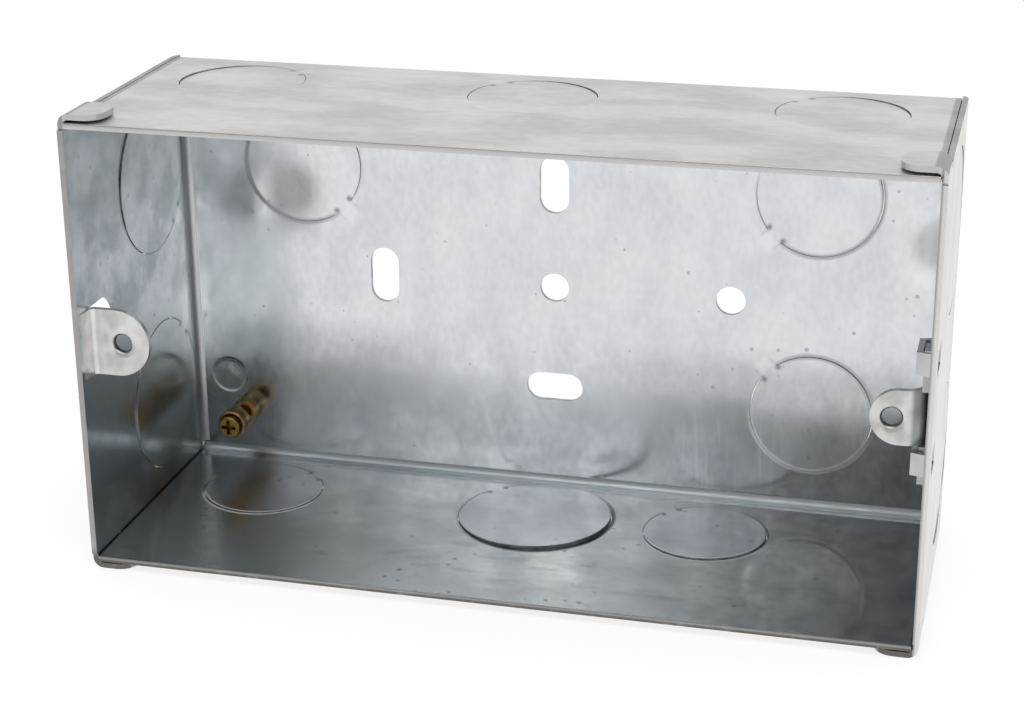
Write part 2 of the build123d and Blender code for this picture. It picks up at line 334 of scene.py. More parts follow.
def knockoutMarks(u, v, radius, leanU, leanV):  # u and v from the centre, lean points at the bridge
    ring = (u * u + v * v).root() - radius
    along = (u * leanU + v * leanV) * diagonal
    across = abs(u * leanV - v * leanU) * diagonal
    half = knockout["bridgeHalf"]
    bridgeSide = along.ramp(*knockout["bridgeReach"])
    offBridge = 1 - bridgeSide * (1 - across.ramp(*knockout["bridgeEdge"]))
    spots = bridgeSide * ring.near(*knockout["spotRing"]) * across.near(half, 0.0, knockout["spotHalf"])
    cuts = bridgeSide * ring.near(*knockout["cutRing"]) * across.near(half, 0.0, knockout["cutHalf"])
    blank = 1 - ring.ramp(-knockout["leanHalf"], knockout["leanHalf"])
    hinge = 0.5 - along * 0.5 / radius  # 0 at the bridge, 1 across from it
    begins, full = knockout["freeSide"]
    freeSide = (along * -1.0).ramp(radius * begins, radius * full)
    return {
        "line": ring.near(*knockout["lineRing"]) * offBridge,
        "dark": spots * knockout["spotShare"] + cuts * knockout["cutShare"],
        "padHighlight": bridgeSide * ring.near(*knockout["padRing"]) * (1 - across.ramp(*knockout["padEdge"])),
        "lean": blank * hinge,
        "blank": blank,
        "step": ring.near(*knockout["stepRing"]) * freeSide,
        "rolled": ring.near(*knockout["rolledRing"]) * offBridge,
    }


def backMarks(place):  # three in the corners, none beside the terminal
    x, _, z = place.axes()
    centre = mountPlaces["knockout_back_upper_right"]
    marks = knockoutMarks(abs(x) - centre.x, abs(z) - centre.z, knockout["small"], -1, -1)
    kept = x.past(0.0).larger(z.past(0.0))
    return {name: mark * kept for name, mark in marks.items()}


def endMarks(place):
    _, y, z = place.axes()
    centre = mountPlaces["knockout_left_upper"]
    return knockoutMarks(y - centre.y, abs(z) - centre.z, knockout["large"], 1, -1)


def rowMarks(place, row):  # a row along X: name of its mount, radius, lean along X
    x, y, _ = place.axes()
    places = [mountPlaces[name] for name, _, _ in row]
    centre, radius, lean = places[0].x, row[0][1], row[0][2]
    for index in range(1, len(row)):
        (_, oldRadius, oldLean), (_, newRadius, newLean) = row[index - 1:index + 1]
        reach = places[index].x - places[index - 1].x
        border = places[index - 1].x + (reach + oldRadius - newRadius) / 2
        chosen = x.past(border)
        centre = centre + chosen * reach
        radius = radius + chosen * (newRadius - oldRadius)
        lean = lean + chosen * (newLean - oldLean)
    return knockoutMarks(x - centre, y - places[0].y, radius, lean, 1)


def topMarks(place):
    small = knockout["small"]
    return rowMarks(place, [
        ("knockout_top_left", small, 1),
        ("knockout_top_middle", small, -1),
        ("knockout_top_right", small, -1),
    ])


def floorMarks(place):
    small, large = knockout["small"], knockout["large"]
    return rowMarks(place, [
        ("knockout_floor_left", small, 1),
        ("knockout_floor_middle", large, -1),
        ("knockout_floor_right", small, -1),
    ])


# galvanised sheet
insideSheet = {
    "light": (0.715, 0.728, 0.758, 1.0),
    "dark": (0.635, 0.652, 0.682, 1.0),
    "cloudSize": 7.0,
    "stretch": (1.0, 1.0, 0.6),
    "grainShare": 0.4,          # fine grain against wide clouds
    "smooth": 0.13,
    "rough": 0.23,
    "lean": 1.0,                # blanks stand up on the inside
    "padShine": 0.35,
    "lineShare": 0.35,
    "pitRadius": 0.27,
    "seam": 0.0,                # strength of the painted shade along the open corners
    "seamWidth": 0.2,
}
# painted light and shade: the same zinc, darker on the end walls and lighter on the floor
insideEnds = dict(insideSheet, light=(0.645, 0.68, 0.69, 1.0), dark=(0.375, 0.43, 0.44, 1.0),
                  stretch=(1.0, 1.0, 1.0), grainShare=0.2, pitRadius=0.36, seam=0.8)
insideFloor = dict(insideSheet, light=(0.89, 0.925, 0.932, 1.0), dark=(0.765, 0.805, 0.815, 1.0),
                   stretch=(0.6, 1.0, 1.0), smooth=0.20, rough=0.268,
                   padShine=0.2, pitRadius=0.42, seam=0.8)
# painted light: the outer faces warmer than the bluish inside
outsideSheet = {
    "light": (0.80, 0.785, 0.765, 1.0),
    "dark": (0.71, 0.70, 0.68, 1.0),
    "cloudSize": 7.0,
    "stretch": (1.0, 1.0, 0.5),
    "grainShare": 0.4,
    "smooth": 0.34,
    "rough": 0.46,
    "lean": -1.0,
    "padShine": 0.15,
    "lineShare": 0.2,
    "pitRadius": 0.12,
    "seam": 0.0,
    "seamWidth": 0.9,
}
# painted shade: the outside of the top darker, the underside darkest
outsideTop = dict(outsideSheet, light=(0.62, 0.615, 0.605, 1.0), dark=(0.48, 0.475, 0.465, 1.0),
                  cloudSize=9.0, stretch=(0.5, 1.0, 1.0), grainShare=0.25, seam=0.5)
outsideFloor = dict(outsideTop, light=(0.46, 0.45, 0.44, 1.0), dark=(0.36, 0.35, 0.34, 1.0))
zinc = {                        # the same on every wall
    "cloudDetail": 4.0,
    "cloudRange": (0.34, 0.66),
    "grainSize": 1.1,
    "grainDetail": 2.0,
    "grainRange": (0.3, 0.7),
    "pitRange": (0.44, 0.62),
    "pitSpacing": 2.6,
    "pitShare": 0.55,
    "waveSize": 12.0,
    "waveHeight": 0.02,
    "seamSoft": 0.2,
}
mottle = {                      # of the dark zones
    "size": 3.4,
    "detail": 5.0,
    "range": (0.36, 0.64),
}
stains = {
    "line": (0.36, 0.375, 0.385, 1.0),
    "dark": (0.10, 0.105, 0.11, 1.0),
    # painted highlight: the pads, the streak beside the left fold and the glints on the blanks' edges
    "padHighlight": (0.84, 0.85, 0.85, 1.0),
    "polished": (0.96, 0.965, 0.97, 1.0),
    "pits": (0.24, 0.25, 0.25, 1.0),
    "drips": (0.88, 0.88, 0.87, 1.0),
    "seam": (0.09, 0.095, 0.095, 1.0),
    # grime, and painted shade on the low back plate and on the steps of the end walls' blanks
    "grimeAndShade": (0.22, 0.245, 0.25, 1.0),
    # painted light, low on the end walls
    "litBand": (0.80, 0.86, 0.86, 1.0),
    "blank": (0.80, 0.85, 0.93, 1.0),
}


def stain(look, mask, name):
    look["colour"] = mask.tint(look["colour"], stains[name])


def mottling(place, stretch):
    return place.noise(mottle["size"], mottle["detail"], stretch).ramp(*mottle["range"])


def seamShade(look, beyond, facts):  # painted shade along the open corners
    width, soft = facts["seamWidth"], zinc["seamSoft"]
    stain(look, beyond.ramp(-width - soft, -width + soft) * facts["seam"], "seam")


def galvanised(name, facts, makeMarks, wear=None):
    material, place = newMaterial(name)
    marks = makeMarks(place)
    clouds = place.noise(facts["cloudSize"], zinc["cloudDetail"], facts["stretch"])
    grain = place.noise(zinc["grainSize"], zinc["grainDetail"], facts["stretch"])
    share = facts["grainShare"]
    tone = clouds.ramp(*zinc["cloudRange"]) * (1 - share) + grain.ramp(*zinc["grainRange"]) * share
    waves = place.noise(zinc["waveSize"], 0.0) * zinc["waveHeight"]
    look = {
        "colour": tone.tint(facts["dark"], facts["light"]),
        "roughness": facts["smooth"] + (1 - tone) * (facts["rough"] - facts["smooth"]),
        "metallic": 1.0,
        "height": waves + marks["lean"] * (knockout["lean"] * facts["lean"]),
        "pits": clouds.ramp(*zinc["pitRange"]) * facts["pitRadius"],
    }
    if wear:
        wear(place, facts, marks, look)
    stain(look, marks["line"] * facts["lineShare"], "line")
    stain(look, marks["padHighlight"] * facts["padShine"], "padHighlight")
    stain(look, marks["dark"], "dark")
    stain(look, place.specks(zinc["pitSpacing"], look["pits"]) * zinc["pitShare"], "pits")
    roughness = look["roughness"] + marks["line"] * (knockout["lineRough"] - facts["rough"])
    closeMetal(look["colour"], roughness, look["metallic"], look["height"])
    return material


# wear of the back plate
pressedMark = {                 # round mark pressed beside the terminal
    "side": -3.0,               # from the terminal
    "rise": 6.2,
    "radius": 3.1,
    "depth": 0.05,
    "slope": (-0.6, 0.4),
    "shoulder": (0.0, 0.1, 0.65),
    "arc": (0.6, 2.6),
    # painted highlight on the lower arc, painted shade on the upper arc, and a painted glint
    "lightWay": (-0.5, -0.85),
    "lightArc": (0.90, 0.91, 0.91, 1.0),
    "lightShare": 0.55,
    "darkWay": (-0.1, 1.0),
    "darkArc": (0.36, 0.375, 0.38, 1.0),
    "darkShare": 0.5,
    "glintWay": (0.64, 0.77),
    "glintAlong": (1.3, 0.3, 0.9),
    "glintAcross": (0.2, 0.8, 1.8),
    "glintShare": 0.8,
}
foldHighlight = {                     # painted highlight: a bright streak beside the left fold
    "x": (-64.0, 0.4, 2.0),
    "z": (-4.0, 14.0, 26.0),
    "share": 0.6,
}
drips = {                       # pale, low on the right
    "size": 1.1,
    "detail": 2.0,
    "stretch": (1.0, 1.0, 0.08),
    "range": (0.5, 0.72),
    "x": (31.0, 5.0, 13.0),
    "z": (-29.0, 4.0, 10.0),
    "share": 0.85,
    "rougher": 0.03,
}
darkPatches = {                    # low on the plate
    "places": [(9.0, -30.5, 5.0, 2.2), (40.0, -33.0, 5.0, 1.3)],  # x, z, half width, half height
    "slope": 0.25,
    "fade": (0.2, 1.0),
    "size": 1.8,
    "detail": 3.0,
    "range": (0.36, 0.60),
    "share": 0.35,
}
backLook = {
    "pitted": (18.0, 34.0),     # wider pits towards the right
    "pitGrowth": 0.4,
    "polishedX": (57.5, 62.5),  # pale patch beside the right fold
    "polishedZ": (11.0, 3.0, 9.0),
    "polishedShare": 0.8,
    "shadeMiddle": -5.0,        # painted shade: the low corners are darker
    "shadeX": (8.0, 34.0),
    "shadeZ": (-14.0, -7.0),
    "shadeShare": 0.36,
    "mottleStretch": (1.0, 1.0, 0.5),
    "mottleShare": 0.3,
    "arcTurn": (-25.0, -17.0),  # above this the edges of the blanks get painted shade, below it a painted highlight
    "arcSide": (-0.3, 0.9),     # shares of the radius
    "arcShare": 0.8,
    "glintShare": 0.8,
    "glintMetal": 0.5,          # metal lost in the glint
}


def pressedDent(x, z, look):
    post = mountPlaces["earth_wire_hole"]
    u = x - (post.x + pressedMark["side"])
    v = z - (post.z + pressedMark["rise"])
    ring = (u * u + v * v).root() - pressedMark["radius"]
    # painted light and shade of the dent's rim
    shoulder = ring.near(*pressedMark["shoulder"])
    for name in ("light", "dark"):
        wayU, wayV = pressedMark[name + "Way"]
        arc = shoulder * (u * wayU + v * wayV).ramp(*pressedMark["arc"])
        look["colour"] = (arc * pressedMark[name + "Share"]).tint(look["colour"], pressedMark[name + "Arc"])
    wayU, wayV = pressedMark["glintWay"]
    glint = (u * wayU + v * wayV).near(*pressedMark["glintAlong"])
    glint = glint * (u * wayV - v * wayU).near(*pressedMark["glintAcross"])
    look["colour"] = (glint * pressedMark["glintShare"]).tint(look["colour"], pressedMark["lightArc"])
    look["height"] = look["height"] + ring.ramp(*pressedMark["slope"]) * pressedMark["depth"]


def dripStreaks(place, x, z):
    streaks = place.noise(drips["size"], drips["detail"], drips["stretch"]).ramp(*drips["range"])
    return streaks * x.near(*drips["x"]) * z.near(*drips["z"])


def darkPatchMask(place, x, z):
    total = 0.0
    for middleX, middleZ, halfX, halfZ in darkPatches["places"]:
        u = (x - middleX) * (1 / halfX)
        v = (z - middleZ - (x - middleX) * darkPatches["slope"]) * (1 / halfZ)
        total = total + (1 - (u * u + v * v).root().ramp(*darkPatches["fade"]))
    return total * place.noise(darkPatches["size"], darkPatches["detail"]).ramp(*darkPatches["range"])


def backWear(place, facts, marks, look):
    x, _, z = place.axes()
    look["pits"] = look["pits"] * (1 + x.ramp(*backLook["pitted"]) * backLook["pitGrowth"])
    streaks = dripStreaks(place, x, z)
    look["roughness"] = look["roughness"] + streaks * drips["rougher"]
    stain(look, streaks * drips["share"], "drips")
    stain(look, darkPatchMask(place, x, z) * darkPatches["share"], "grimeAndShade")
    stain(look, x.near(*foldHighlight["x"]) * z.near(*foldHighlight["z"]) * foldHighlight["share"], "padHighlight")
    polished = x.ramp(*backLook["polishedX"]) * z.near(*backLook["polishedZ"])
    stain(look, polished * backLook["polishedShare"], "polished")
    # painted shade, darker in the low corners
    shade = abs(x - backLook["shadeMiddle"]).ramp(*backLook["shadeX"]) * (1 - z.ramp(*backLook["shadeZ"]))
    uneven = mottling(place, backLook["mottleStretch"]) - 0.5
    shade = shade * (1 + uneven * backLook["mottleShare"])
    stain(look, shade * backLook["shadeShare"], "grimeAndShade")
    # painted shade on the outer arcs of the blanks, painted highlight on their low arcs
    centre, radius = mountPlaces["knockout_back_upper_right"], knockout["small"]
    begins, full = backLook["arcSide"]
    outerSide = ((abs(x) - centre.x) - (abs(z) - centre.z)).ramp(radius * begins, radius * full)
    low = 1 - z.ramp(*backLook["arcTurn"])
    stain(look, marks["rolled"] * outerSide * (1 - low) * backLook["arcShare"], "line")
    glint = marks["rolled"] * low
    stain(look, glint * backLook["glintShare"], "padHighlight")
    look["metallic"] = 1 - glint * backLook["glintMetal"]
    pressedDent(x, z, look)


# wear of the floor
floorLook = {
    "rubSize": 2.6,             # dark rubs near the front
    "rubDetail": 4.0,
    "rubStretch": (0.5, 1.0, 1.0),
    "rubRange": (0.56, 0.70),
    "rubY": (-38.0, 3.0, 20.0),
    "rubShare": 0.2,
    "calmX": (22.0, 44.0),      # smoother and darker at the right end
    "calmSmoother": 0.14,
    "calmShare": 0.38,
    "mottleStretch": (1.0, 1.0, 1.0),
    "mottleShare": 0.32,
    "blankShare": 0.35,
    "liftedX": (0.0, 14.0, 16.0),  # the middle blank leans most
    "stepShare": 0.8,
    "frontArc": (1.0, 6.0),     # the others catch light this far in front of their middle
    "glintShare": 0.8,
    "glintMetal": 0.5,
}


def floorWear(place, facts, marks, look):
    x, y, _ = place.axes()
    rubsAndHighlight = place.noise(floorLook["rubSize"], floorLook["rubDetail"], floorLook["rubStretch"])
    rubsAndHighlight = rubsAndHighlight.ramp(*floorLook["rubRange"]) * y.near(*floorLook["rubY"])
    stain(look, rubsAndHighlight * floorLook["rubShare"], "grimeAndShade")
    calm = x.ramp(*floorLook["calmX"])
    look["roughness"] = look["roughness"] - calm * floorLook["calmSmoother"]
    stain(look, calm * floorLook["calmShare"], "grimeAndShade")
    uneven = mottling(place, floorLook["mottleStretch"])
    stain(look, calm * uneven * floorLook["mottleShare"], "grimeAndShade")
    stain(look, marks["blank"] * floorLook["blankShare"], "blank")
    # painted shade on the step of the middle blank, painted highlight on the front arcs of the others
    lifted = x.near(*floorLook["liftedX"])
    stain(look, marks["step"] * lifted * floorLook["stepShare"], "dark")
    front = (mountPlaces["knockout_floor_left"].y - y).ramp(*floorLook["frontArc"])
    glint = marks["rolled"] * front * (1 - lifted)
    stain(look, glint * floorLook["glintShare"], "padHighlight")
    look["metallic"] = 1 - glint * floorLook["glintMetal"]
    longSeams(place, facts, marks, look)


def longSeams(place, facts, marks, look):  # where a long wall meets the ends
    x, _, _ = place.axes()
    seamShade(look, abs(x) - shell["longEnd"], facts)


# wear of the end walls
endLook = {
    "darkTopZ": (8.0, 24.0),      # darker at the top
    "darkTopShare": 0.45,
    "arcZ": (-18.0, -6.0),
    "arcShare": 0.5,
    # painted light, a lighter band low on the end walls
    "litBandZ": (-12.0, 5.0, 14.0),
    "litBandShare": 0.6,
}


def endWear(place, facts, marks, look):
    _, _, z = place.axes()
    stain(look, z.ramp(*endLook["darkTopZ"]) * endLook["darkTopShare"], "grimeAndShade")
    # painted shade on the steps of the blanks
    stain(look, marks["step"] * z.ramp(*endLook["arcZ"]) * endLook["arcShare"], "grimeAndShade")
    stain(look, z.near(*endLook["litBandZ"]) * endLook["litBandShare"], "litBand")
    seamShade(look, abs(z) - (shell["wall"] - shell["sheet"]), facts)


foldMetal = {
    # painted shade and light: upright folds dark by the wall and light by the back plate, all folds lighter
    # to the right
    "upright": (0.42, 0.44, 0.46, 1.0),
    "uprightBack": (0.74, 0.76, 0.78, 1.0),
    "rubsAndHighlight": (0.96, 0.97, 0.98, 1.0),
    "highlightMetal": 0.6,         # metal lost in the painted highlight
    "turn": (1.2, 1.9),         # where the colour of an upright fold changes, from the side
    "left": (0.60, 0.63, 0.655, 1.0),
    "right": (0.76, 0.785, 0.80, 1.0),
    "leftToRight": (-30.0, 50.0),
    "roughness": 0.36,
    "cloudSize": 6.0,
    "cloudDetail": 2.0,
    "cloudRange": (0.35, 0.65),
    "cloudRough": 0.06,
    "uprightRough": 0.14,
    "rightX": (0.0, 50.0),
    "rightRough": 0.14,
}


def foldedZinc():  # inside of the folds, with painted light and shade and a painted highlight
    material, place = newMaterial("insideFold")
    x, _, z = place.axes()
    colour = x.ramp(*foldMetal["leftToRight"]).tint(foldMetal["left"], foldMetal["right"])
    inward = (shell["side"] - abs(x)).ramp(*foldMetal["turn"])
    upright = inward.tint(foldMetal["upright"], foldMetal["uprightBack"])
    bright = inward * z.near(*foldHighlight["z"])
    upright = bright.tint(upright, foldMetal["rubsAndHighlight"])
    onUpright = abs(x).past(shell["side"] - shell["band"])
    colour = onUpright.tint(colour, upright)
    clouds = place.noise(foldMetal["cloudSize"], foldMetal["cloudDetail"]).ramp(*foldMetal["cloudRange"])
    roughness = foldMetal["roughness"] + clouds * foldMetal["cloudRough"]
    roughness = roughness + onUpright * foldMetal["uprightRough"]
    roughness = roughness + x.ramp(*foldMetal["rightX"]) * foldMetal["rightRough"]
    closeMetal(colour, roughness, 1 - bright * onUpright * foldMetal["highlightMetal"])
    return material


# sheared edges and lugs
edgeMetal = {
    "lower": (0.17, 0.16, 0.15, 1.0),     # painted shade: under side of the lower rim
    "lowerLip": (0.37, 0.36, 0.35, 1.0),  # its upper lip, a painted highlight
    "lip": (0.35, 0.65),        # shares of the sheet, from the outer face
    # painted light: the upper rim lighter than the lower
    "upper": (0.66, 0.64, 0.63, 1.0),
    # painted shade on the left end, painted light on the right end
    "left": (0.43, 0.415, 0.41, 1.0),
    "leftDark": 3.0,            # painted shade, darker this near to the lower corner
    "right": (0.78, 0.765, 0.745, 1.0),
    # painted shadow along the inner lip of the right end
    "rightLip": (0.30, 0.29, 0.285, 1.0),
    "rightEdge": (0.5, 0.9),
    "rightShare": 0.75,
    "torn": (0.60, 0.585, 0.57, 1.0),
    "tornSize": 2.2,
    "tornDetail": 3.0,
    "tornRange": (0.5, 0.75),
    "tornShare": 0.25,
    "roughness": 0.45,
    "round": 0.08,              # rounding of the edge, height in mm
    "grainSize": 0.6,
    "grainHeight": 0.01,
    "endReach": 1.02,           # an end wall's edge is this wide, in sheets
}


def shearedEdge():
    material, place = newMaterial("shearedEdge")
    x, _, z = place.axes()
    outX = (shell["side"] - abs(x)) * (1 / shell["sheet"])  # 0 at the outer face, 1 at the inner one
    outZ = (shell["wall"] - abs(z)) * (1 / shell["sheet"])
    onEnd = 1 - outX.past(edgeMetal["endReach"])
    through = onEnd * outX + (1 - onEnd) * outZ.larger(0.0).smaller(1.0)
    torn = place.noise(edgeMetal["tornSize"], edgeMetal["tornDetail"]).ramp(*edgeMetal["tornRange"])
    lower = through.ramp(*edgeMetal["lip"]).tint(edgeMetal["lower"], edgeMetal["lowerLip"])
    colour = z.past(0.0).tint(lower, edgeMetal["upper"])
    lip = through.ramp(*edgeMetal["rightEdge"]) * edgeMetal["rightShare"]
    rightEnd = lip.tint(edgeMetal["right"], edgeMetal["rightLip"])
    corner = (-1 * z).ramp(shell["wall"] - edgeMetal["leftDark"], shell["wall"])
    leftEnd = corner.tint(edgeMetal["left"], edgeMetal["lower"])
    colour = onEnd.tint(colour, x.past(0.0).tint(leftEnd, rightEnd))
    colour = (torn * edgeMetal["tornShare"]).tint(colour, edgeMetal["torn"])
    rise = 2 * through - 1
    grain = place.noise(edgeMetal["grainSize"], 1.0) * edgeMetal["grainHeight"]
    height = rise * rise * rise * rise * -edgeMetal["round"] + grain
    closeMetal(colour, edgeMetal["roughness"], height=height)
    return material


seamMetal = {                   # facing edges of the open corners, painted dark as shade
    "dark": (0.05, 0.052, 0.054, 1.0),
    "light": edgeMetal["lower"],
    "size": 2.0,
    "range": (0.4, 0.7),
    "roughness": 0.45,
}
slitMetal = {                   # sheared walls of slits and holes, in shade
    "dark": (0.28, 0.285, 0.29, 1.0),
    "light": (0.40, 0.405, 0.41, 1.0),
    "size": 1.5,
    "range": (0.35, 0.65),
    "roughness": 0.4,
}


def cutMetal(name, facts):
    material, place = newMaterial(name)
    colour = place.noise(facts["size"], 2.0).ramp(*facts["range"]).tint(facts["dark"], facts["light"])
    closeMetal(colour, facts["roughness"])
    return material


lugMetal = {
    "light": (0.73, 0.725, 0.71, 1.0),
    "dark": (0.62, 0.615, 0.60, 1.0),
    "cloudSize": 3.0,
    "cloudDetail": 3.0,
    "cloudRange": (0.3, 0.65),
    "cloudHeight": 0.03,
    # painted shade in the tapped hole
    "hole": (0.10, 0.10, 0.10, 1.0),
    "holeEdge": (1.5, 1.8),
    # painted light: the fixed lug's leg lighter
    "leg": (0.94, 0.94, 0.93, 1.0),
    "legAbove": 3.1,            # from the hole out to the wall
    "legSoft": 0.3,
    "legStrength": 0.4,
    "loop": (0.52, 0.525, 0.525, 1.0),
    "loopShare": 0.8,
    "smooth": 0.30,
    "rough": 0.44,
    "funnel": 0.16,             # drawn-in rim of the tapped hole, mm
    "funnelEdge": (1.4, 2.6),
}
# painted shade: the sliding lug darker, its leg darkest
slidingLugMetal = dict(lugMetal, light=(0.68, 0.675, 0.66, 1.0), dark=(0.54, 0.535, 0.52, 1.0),
                       leg=(0.40, 0.40, 0.40, 1.0), legStrength=0.6)


def lugZinc(name, holeName, facts):
    material, place = newMaterial(name)
    x, _, z = place.axes()
    hole = mountPlaces[holeName]
    fromHole = ((x - hole.x) * (x - hole.x) + (z - hole.z) * (z - hole.z)).root()
    clouds = place.noise(facts["cloudSize"], facts["cloudDetail"])
    tone = clouds.ramp(*facts["cloudRange"])
    colour = tone.tint(facts["dark"], facts["light"])
    side = math.copysign(1.0, hole.x)
    outward = (x * side - (abs(hole.x) + facts["legAbove"])).ramp(-facts["legSoft"], facts["legSoft"])
    colour = (outward * facts["legStrength"]).tint(colour, facts["leg"])
    otherSide = (x * -side).past(0.0)  # only the loops are there
    colour = (otherSide * facts["loopShare"]).tint(colour, facts["loop"])
    colour = (1 - fromHole.ramp(*facts["holeEdge"])).tint(colour, facts["hole"])
    roughness = facts["smooth"] + (1 - tone) * (facts["rough"] - facts["smooth"])
    height = clouds * facts["cloudHeight"] + fromHole.ramp(*facts["funnelEdge"]) * facts["funnel"]
    closeMetal(colour, roughness, height=height)
    return material


# brass terminal
postMetal = {
    "fresh": (0.66, 0.51, 0.25, 1.0),
    # dull brass, also the colour of the painted shade
    "dull": (0.20, 0.14, 0.065, 1.0),
    "dullSize": 1.6,
    "dullDetail": 3.0,
    "dullRange": (0.35, 0.7),
    "dullShare": 0.8,
    "shade": (0.4, 1.8),        # painted shade, from its middle, to the left and below
    "shadeShare": 0.7,
    "collar": (0.32, 0.17, 0.09, 1.0),
    "collarEdge": (-7.8, -7.4),  # front end of the post, pinker than the rest and darkened as painted shade round the screw
    "collarShare": 0.8,
    # painted shadow where the post meets the back plate
    "foot": (0.06, 0.04, 0.02, 1.0),
    "footEdge": (-2.6, -1.4),
    "footShare": 0.25,
    "wireHole": (0.62, 0.25, 0.07, 1.0),
    "holeEdge": (1.5, 1.85),
    "holeMetal": 0.7,           # metal lost in the hole
    "turningSize": 0.35,
    "turningStretch": (0.1, 1.0, 0.1),
    "turningHeight": 0.02,
    "roughness": 0.30,
    "dullRough": 0.2,
}
screwMetal = {
    "face": (0.43, 0.29, 0.065, 1.0),
    "dull": postMetal["dull"],
    "dullSize": 0.9,
    "dullDetail": 2.0,
    "dullRange": (0.4, 0.75),
    "dullShare": 0.5,
    # painted shade in the cross recess
    "cross": (0.12, 0.075, 0.02, 1.0),
    "crossFrom": 0.15,          # behind the face
    "crossTo": 0.6,
    "crossShare": 0.9,
    "threadPitch": 0.6,
    "threadHeight": 0.06,
    "roughness": 0.32,
    "dullRough": 0.2,
}


def postBrass():
    material, place = newMaterial("postBrass")
    x, y, z = place.axes()
    hole = mountPlaces["earth_wire_hole"]
    beside = ((x - hole.x) - (z - hole.z)) * diagonal
    ahead = y - hole.y
    fromHole = (beside * beside + ahead * ahead).root()
    dulled = place.noise(postMetal["dullSize"], postMetal["dullDetail"]).ramp(*postMetal["dullRange"])
    shaded = (hole.x - x).ramp(*postMetal["shade"]).larger((hole.z - z).ramp(*postMetal["shade"]))
    dullAndShade = (dulled * postMetal["dullShare"]).larger(shaded * postMetal["shadeShare"])
    colour = dullAndShade.tint(postMetal["fresh"], postMetal["dull"])
    collar = 1 - y.ramp(*postMetal["collarEdge"])
    colour = (collar * postMetal["collarShare"]).tint(colour, postMetal["collar"])
    foot = y.ramp(*postMetal["footEdge"])
    colour = (foot * postMetal["footShare"]).tint(colour, postMetal["foot"])
    inHole = 1 - fromHole.ramp(*postMetal["holeEdge"])
    colour = inHole.tint(colour, postMetal["wireHole"])
    turning = place.noise(postMetal["turningSize"], 1.0, postMetal["turningStretch"])
    roughness = postMetal["roughness"] + dulled * postMetal["dullRough"]
    metallic = 1 - inHole * postMetal["holeMetal"]
    closeMetal(colour, roughness, metallic, turning * postMetal["turningHeight"])
    return material


def screwBrass():
    material, place = newMaterial("screwBrass")
    _, y, _ = place.axes()
    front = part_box("terminal_screw")[0].y * mm
    dulled = place.noise(screwMetal["dullSize"], screwMetal["dullDetail"]).ramp(*screwMetal["dullRange"])
    colour = (dulled * screwMetal["dullShare"]).tint(screwMetal["face"], screwMetal["dull"])
    sunk = y.ramp(front + screwMetal["crossFrom"], front + screwMetal["crossTo"])
    colour = (sunk * screwMetal["crossShare"]).tint(colour, screwMetal["cross"])
    thread = place.math("SINE", y * (2 * math.pi / screwMetal["threadPitch"])) * screwMetal["threadHeight"]
    closeMetal(colour, screwMetal["roughness"] + dulled * screwMetal["dullRough"], height=thread)
    return material


sheetFinishes = {
    "insideBack": galvanised("insideBack", insideSheet, backMarks, backWear),
    "insideEnds": galvanised("insideEnds", insideEnds, endMarks, endWear),
    "insideFloor": galvanised("insideFloor", insideFloor, floorMarks, floorWear),
    "insideTop": galvanised("insideTop", insideFloor, topMarks),
    "insideFold": foldedZinc(),
    "outsideBack": galvanised("outsideBack", outsideSheet, backMarks),
    "outsideEnds": galvanised("outsideEnds", outsideSheet, endMarks),
    "outsideFloor": galvanised("outsideFloor", outsideFloor, floorMarks, longSeams),
    "outsideTop": galvanised("outsideTop", outsideTop, topMarks, longSeams),
    "edge": shearedEdge(),
    "slit": cutMetal("slitWalls", slitMetal),
    "seam": cutMetal("darkSeam", seamMetal),
    "lug": lugZinc("lugZinc", "fixed_lug_hole", lugMetal),
}
print("finishes ready")


# skins: the solids' own shapes with their seams joined, so that rounded folds shade smoothly
skins = {
    "mergeStep": 2e-6,
    "sharpTurn": 34.0,          # degrees
    "flatWeight": 100,          # large flat faces keep their own direction
}
zones = {                       # of the sheet's faces
    "rimBand": 0.05,            # a face this near to the rim is its cut edge
    "tabRise": 0.1,             # tabs lie further out than this from the long walls
    "cornerHalf": 0.02,         # thin band at the end of a long wall
    "tabBack": 1.0,             # the seam of a tab is this far behind the rim
    "square": 0.9,              # a face turned this much along an axis is square to it
    "forward": 0.7,
    "tilt": 0.35,               # a face turned less than this towards a side is a cut edge
    "folded": 0.99,             # a face square to no axis lies in a fold
    "lugLow": Vector((-66.6, -46.0, -5.56)),
    "lugHigh": Vector((-55.0, -41.7, 5.56)),
    "loopLow": Vector((62.0, -44.3, 6.0)),
    "loopHigh": Vector((66.6, -37.0, 9.7)),
}


def inZone(point, low, high):
    return all(low[axis] < point[axis] < high[axis] for axis in range(3))


def inwardWay(centre):  # towards the inside, from each wall that a face is in
    inward = Vector((0.0, 0.0, 0.0))
    if abs(centre.x) > shell["side"] - shell["band"]:
        inward.x = -math.copysign(1.0, centre.x)
    if abs(centre.z) > shell["wall"] - shell["band"]:
        inward.z = -math.copysign(1.0, centre.z)
    if centre.y > -shell["band"]:
        inward.y = -1.0
    return inward


